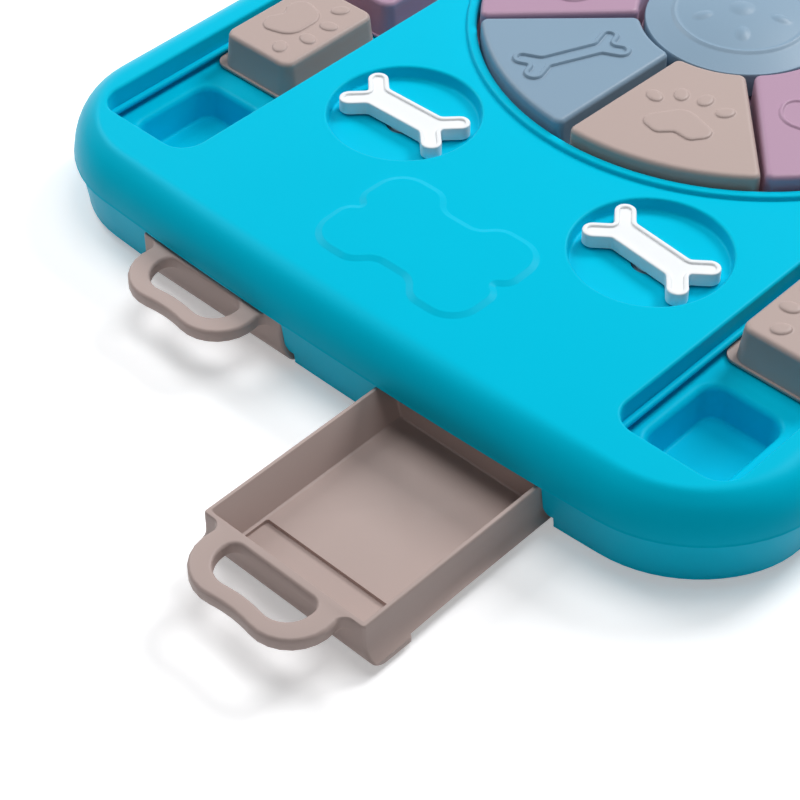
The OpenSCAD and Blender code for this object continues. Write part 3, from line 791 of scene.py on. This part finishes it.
def drawer_rim(shape):
    """Outer side of the rim and the handle loop, rounder at the loop; returns its end rings."""
    edge = 1.3
    outline = loop_outline()
    points, normals = outline[:, :2], outline[:, 2:]
    at_loop = np.clip(-outline[:, 1] / 3, 0, 1)[:, None]
    foot_profile = [(-0.6, LOOP_LOW), (-0.15, LOOP_LOW + 0.15), (0, LOOP_LOW + 0.6)]
    foot, foot_top = shape.loft(np.hstack([points, normals * at_loop]), foot_profile)
    top_outline = np.hstack([points, normals * np.maximum(at_loop, 0.35)])
    start, high = shape.loft(top_outline, fillet(-edge, DRAWER_RIM - edge, edge, 0, 90, 6))
    shape.skin([foot_top, start])
    return foot, high


def drawer_cavity(shape):
    """Treat space with leaning walls, a step in its floor and a round mark; returns its mouth."""
    floor = DRAWER_FLOOR
    # how far the walls stand in at the sides and at the ends, by height
    walls = ((1.4, 1.6, DRAWER_RIM), (1.6, 1.8, DRAWER_RIM - 0.2), (6.0, 2.6, floor + 1.2),
             (6.3, 2.75, floor + 0.4), (6.9, 3.2, floor), (7.1, 3.3, floor))
    rings = []
    for side, end, z in walls:
        outline = rectangle(DRAWER_W - 2 * side, DRAWER_L - 2 * end, 1, 5)
        rings.append(shape.ring(moved(outline, 0, DRAWER_L / 2), 0, z))
    shape.skin(rings)
    front, back, side_gap, depth = 3.5, 19.2, 7.25, 1.3
    step = moved(rectangle(DRAWER_W - 2 * side_gap, back - front, 0.9, 3), 0, (back + front) / 2)
    pit, pit_floor = shape.loft(step, [(0, floor), (-0.1, floor - depth)])
    shape.plate(pit_floor)
    mark_r, mark_depth = 5.4, 0.07
    mark = moved(circle(mark_r, 40), 3.0, DRAWER_L * 0.62)
    mark_top, mark_floor = shape.loft(mark, [(0.12, floor), (-0.12, floor - mark_depth)])
    shape.plate(mark_floor)
    shape.plate(rings[-1], [pit, mark_top])
    return rings[0]


def drawer_sides(shape):
    """Outside of the drawer from under its rim to its foot; returns its upper ring."""
    inset = 0.06
    length = DRAWER_L - inset
    rings = [side_ring(shape, length, LOOP_LOW, inset)]
    for z in (13.0, 11.5, 10.0, 9.0, 8.0, 7.2, 6.5, 5.9, 5.3, 4.9, DRAWER_FOOT):
        rings.append(side_ring(shape, length, z))
    shape.skin(rings)
    shape.plate(rings[-1])
    return rings[0]


def drawer_front_foot(shape):
    """Front part of the drawer that reaches lower, down to its rounded foot."""
    length = 17
    rings = [side_ring(shape, length, DRAWER_FOOT + 0.4, 0.2)]
    for z in (DRAWER_FOOT, 4.0, 3.4, 2.9, 2.5, 2.2, DRAWER_LOW + 0.05):
        rings.append(side_ring(shape, length, z))
    shape.skin(rings)
    shape.plate(rings[0])
    shape.plate(rings[-1])


def drawer():
    """Drawer with its face at y = 0, handle loop, stepped floor and flared sides."""
    shape = Shape()
    edge = 1.2
    foot, high = drawer_rim(shape)
    hole_profile = [(0.4, LOOP_LOW), (0, LOOP_LOW + 0.4)] + fillet(edge, DRAWER_RIM - edge, edge, 180, 90, 5)
    hole_low, hole_high = shape.loft(hole_outline(), hole_profile)
    mouth = drawer_cavity(shape)
    shape.plate(high, [hole_high, mouth])
    sides_top = drawer_sides(shape)
    shape.plate(foot, [hole_low, sides_top])
    drawer_front_foot(shape)
    return shape


# ---- assembly ------------------------------------------------------------

# Angle of each wheel block, as in the photo for those in view, and its motif
WHEEL = {
    "mauve_left": (-158.7, wheel_heart),
    "slate_front": (-115.1, wheel_bone),
    "taupe_front": (-70.2, wheel_paw),
    "mauve_right": (-26.6, wheel_heart),
    "slate_back": (67.9, wheel_bone),
    "taupe_back": (112.1, wheel_paw),
}
BONE_TURN = {"bone_front_left": 1, "bone_front_right": -6}

upper_shell()
lower_shell()
for end, sy in ENDS.items():
    for side, sx in SIDES.items():
        quarter = f"{end}_{side}"
        make_piece(f"tray_{quarter}", channel_tray(), "base", "turquoise_plastic",
                   (f"tray_{quarter}", f"pockets_{quarter}"), flip=(sx, -sy), place=(CHANNEL_X, CHANNEL_Y))
        for colour in ("taupe", "mauve"):
            name = f"slider_{quarter}_{colour}"
            low, high = corners(name)
            make_piece(name, slider(), name, f"{colour}_plastic",
                       flip=(sx, 1), place=(CHANNEL_X, (low[1] + high[1]) / 2))
        name = f"bone_{quarter}"
        make_piece(name, bone(), name, "white_plastic",
                   turn=BONE_TURN.get(name, 0), place=(sx * BONE_X, sy * BONE_Y))
        name = f"drawer_{quarter}"
        low, high = corners(name)
        back = min(abs(low[1]), abs(high[1]))
        make_piece(name, drawer(), name, "taupe_plastic",
                   flip=(sx, -sy), place=(DRAWER_X, -back - DRAWER_L))
for name, (angle, motif) in WHEEL.items():
    colour = name.split("_")[0]
    make_piece(f"wheel_block_{name}", wheel_block(motif), f"wheel_{name}", f"{colour}_plastic", turn=angle)
make_piece("knob", knob(), "knob", "slate_plastic")


# ---- floor, light and camera: lamps, floor and fades are in metres --------

def seen_directly(nodes, links):
    """Node that passes its second input to camera, glossy and transmission rays only."""
    path = nodes.new("ShaderNodeLightPath")
    first = nodes.new("ShaderNodeMath")
    first.operation = "MAXIMUM"
    second = nodes.new("ShaderNodeMath")
    second.operation = "MAXIMUM"
    scale = nodes.new("ShaderNodeMath")
    scale.operation = "MULTIPLY"
    links.new(path.outputs["Is Camera Ray"], first.inputs[0])
    links.new(path.outputs["Is Glossy Ray"], first.inputs[1])
    links.new(first.outputs[0], second.inputs[0])
    links.new(path.outputs["Is Transmission Ray"], second.inputs[1])
    links.new(second.outputs[0], scale.inputs[0])
    return scale


def floor_material():
    """Pale floor with the object's shadow, which fades to white for the camera and in reflections."""
    material = bpy.data.materials.new("floor")
    material.use_nodes = True
    nodes, links = material.node_tree.nodes, material.node_tree.links
    shader = nodes["Principled BSDF"]
    shader.inputs["Base Color"].default_value = (0.92, 0.92, 0.93, 1)
    shader.inputs["Roughness"].default_value = 0.9
    shader.inputs["Specular IOR Level"].default_value = 0.0
    shader.inputs["Emission Color"].default_value = (1, 1, 1, 1)
    place = nodes.new("ShaderNodeTexCoord")
    distance = nodes.new("ShaderNodeVectorMath")
    distance.operation = "LENGTH"
    fade = nodes.new("ShaderNodeMapRange")
    fade.inputs["From Min"].default_value = 0.45
    fade.inputs["From Max"].default_value = 1.1
    fade.inputs["To Min"].default_value = 0.35
    fade.inputs["To Max"].default_value = 1.0
    links.new(place.outputs["Object"], distance.inputs[0])
    links.new(distance.outputs["Value"], fade.inputs["Value"])
    scale = seen_directly(nodes, links)
    links.new(fade.outputs["Result"], scale.inputs[1])
    links.new(scale.outputs[0], shader.inputs["Emission Strength"])
    return material


def add_floor():
    """Square floor just under the board's feet."""
    side = 4.0
    gap = 0.0003
    square = [(-side, -side, 0), (side, -side, 0), (side, side, 0), (-side, side, 0)]
    mesh = bpy.data.meshes.new("floor")
    mesh.from_pydata(square, [], [(0, 1, 2, 3)])
    mesh.materials.append(floor_material())
    floor = bpy.data.objects.new("floor", mesh)
    floor.location.z = -gap
    bpy.context.scene.collection.objects.link(floor)


def direction(azimuth, elevation):
    """Unit vector towards an azimuth (0 is -Y, 90 is +X) and elevation."""
    c, s = cos_sin(azimuth)
    level, up = cos_sin(elevation)
    return Vector((s * level, -c * level, up))


def add_softbox(name, azimuth, elevation, distance, size, power):
    """Square lamp that looks at the board; distance and size are metres."""
    data = bpy.data.lights.new(name, "AREA")
    data.size = size
    data.energy = power
    lamp = bpy.data.objects.new(name, data)
    aim = Vector((0.03, -0.12, 0.03))
    lamp.location = aim + distance * direction(azimuth, elevation)
    lamp.rotation_euler = (aim - lamp.location).to_track_quat("-Z", "Y").to_euler()
    bpy.context.scene.collection.objects.link(lamp)


def add_world():
    """Near-white surroundings for the camera and reflections that light the board only faintly."""
    world = bpy.data.worlds.new("studio")
    bpy.context.scene.world = world
    world.use_nodes = True
    nodes, links = world.node_tree.nodes, world.node_tree.links
    background = nodes["Background"]
    background.inputs["Color"].default_value = (0.93, 0.96, 1.0, 1)
    lift = nodes.new("ShaderNodeMath")
    lift.operation = "ADD"
    lift.inputs[1].default_value = 0.06
    scale = seen_directly(nodes, links)
    scale.inputs[1].default_value = 0.96
    links.new(scale.outputs[0], lift.inputs[0])
    links.new(lift.outputs[0], background.inputs["Strength"])


def add_camera():
    """Camera of the photograph: it looks down at the front drawers from the right."""
    target = Vector((43.93, -227.95, DECK)) * MM
    distance = 676.4 * MM
    azimuth, elevation = 43.463, 43.769
    roll = math.radians(-0.174)
    sensor, focal_pixels, photo_pixels = 36, 2229.94, 800
    back = direction(azimuth, elevation)
    right = direction(azimuth + 90, 0)
    up = back.cross(right)
    x_axis = math.cos(roll) * right + math.sin(roll) * up
    y_axis = -math.sin(roll) * right + math.cos(roll) * up
    place = target + distance * back
    data = bpy.data.cameras.new("camera")
    data.sensor_width = sensor
    data.lens = sensor * focal_pixels / photo_pixels
    data.clip_start = 0.01
    camera = bpy.data.objects.new("camera", data)
    camera.matrix_world = Matrix((
        (x_axis.x, y_axis.x, back.x, place.x),
        (x_axis.y, y_axis.y, back.y, place.y),
        (x_axis.z, y_axis.z, back.z, place.z),
        (0, 0, 0, 1)))
    bpy.context.scene.collection.objects.link(camera)
    bpy.context.scene.camera = camera


add_floor()
add_softbox("back", azimuth=176, elevation=44, distance=1.5, size=0.5, power=14)
add_softbox("left", azimuth=-92, elevation=40, distance=1.5, size=0.7, power=8.5)
add_softbox("top", azimuth=180, elevation=82, distance=1.4, size=0.8, power=7.5)
add_softbox("front", azimuth=30, elevation=30, distance=1.6, size=0.8, power=1.5)
add_world()
add_camera()
bpy.context.scene.view_settings.view_transform = "Standard"
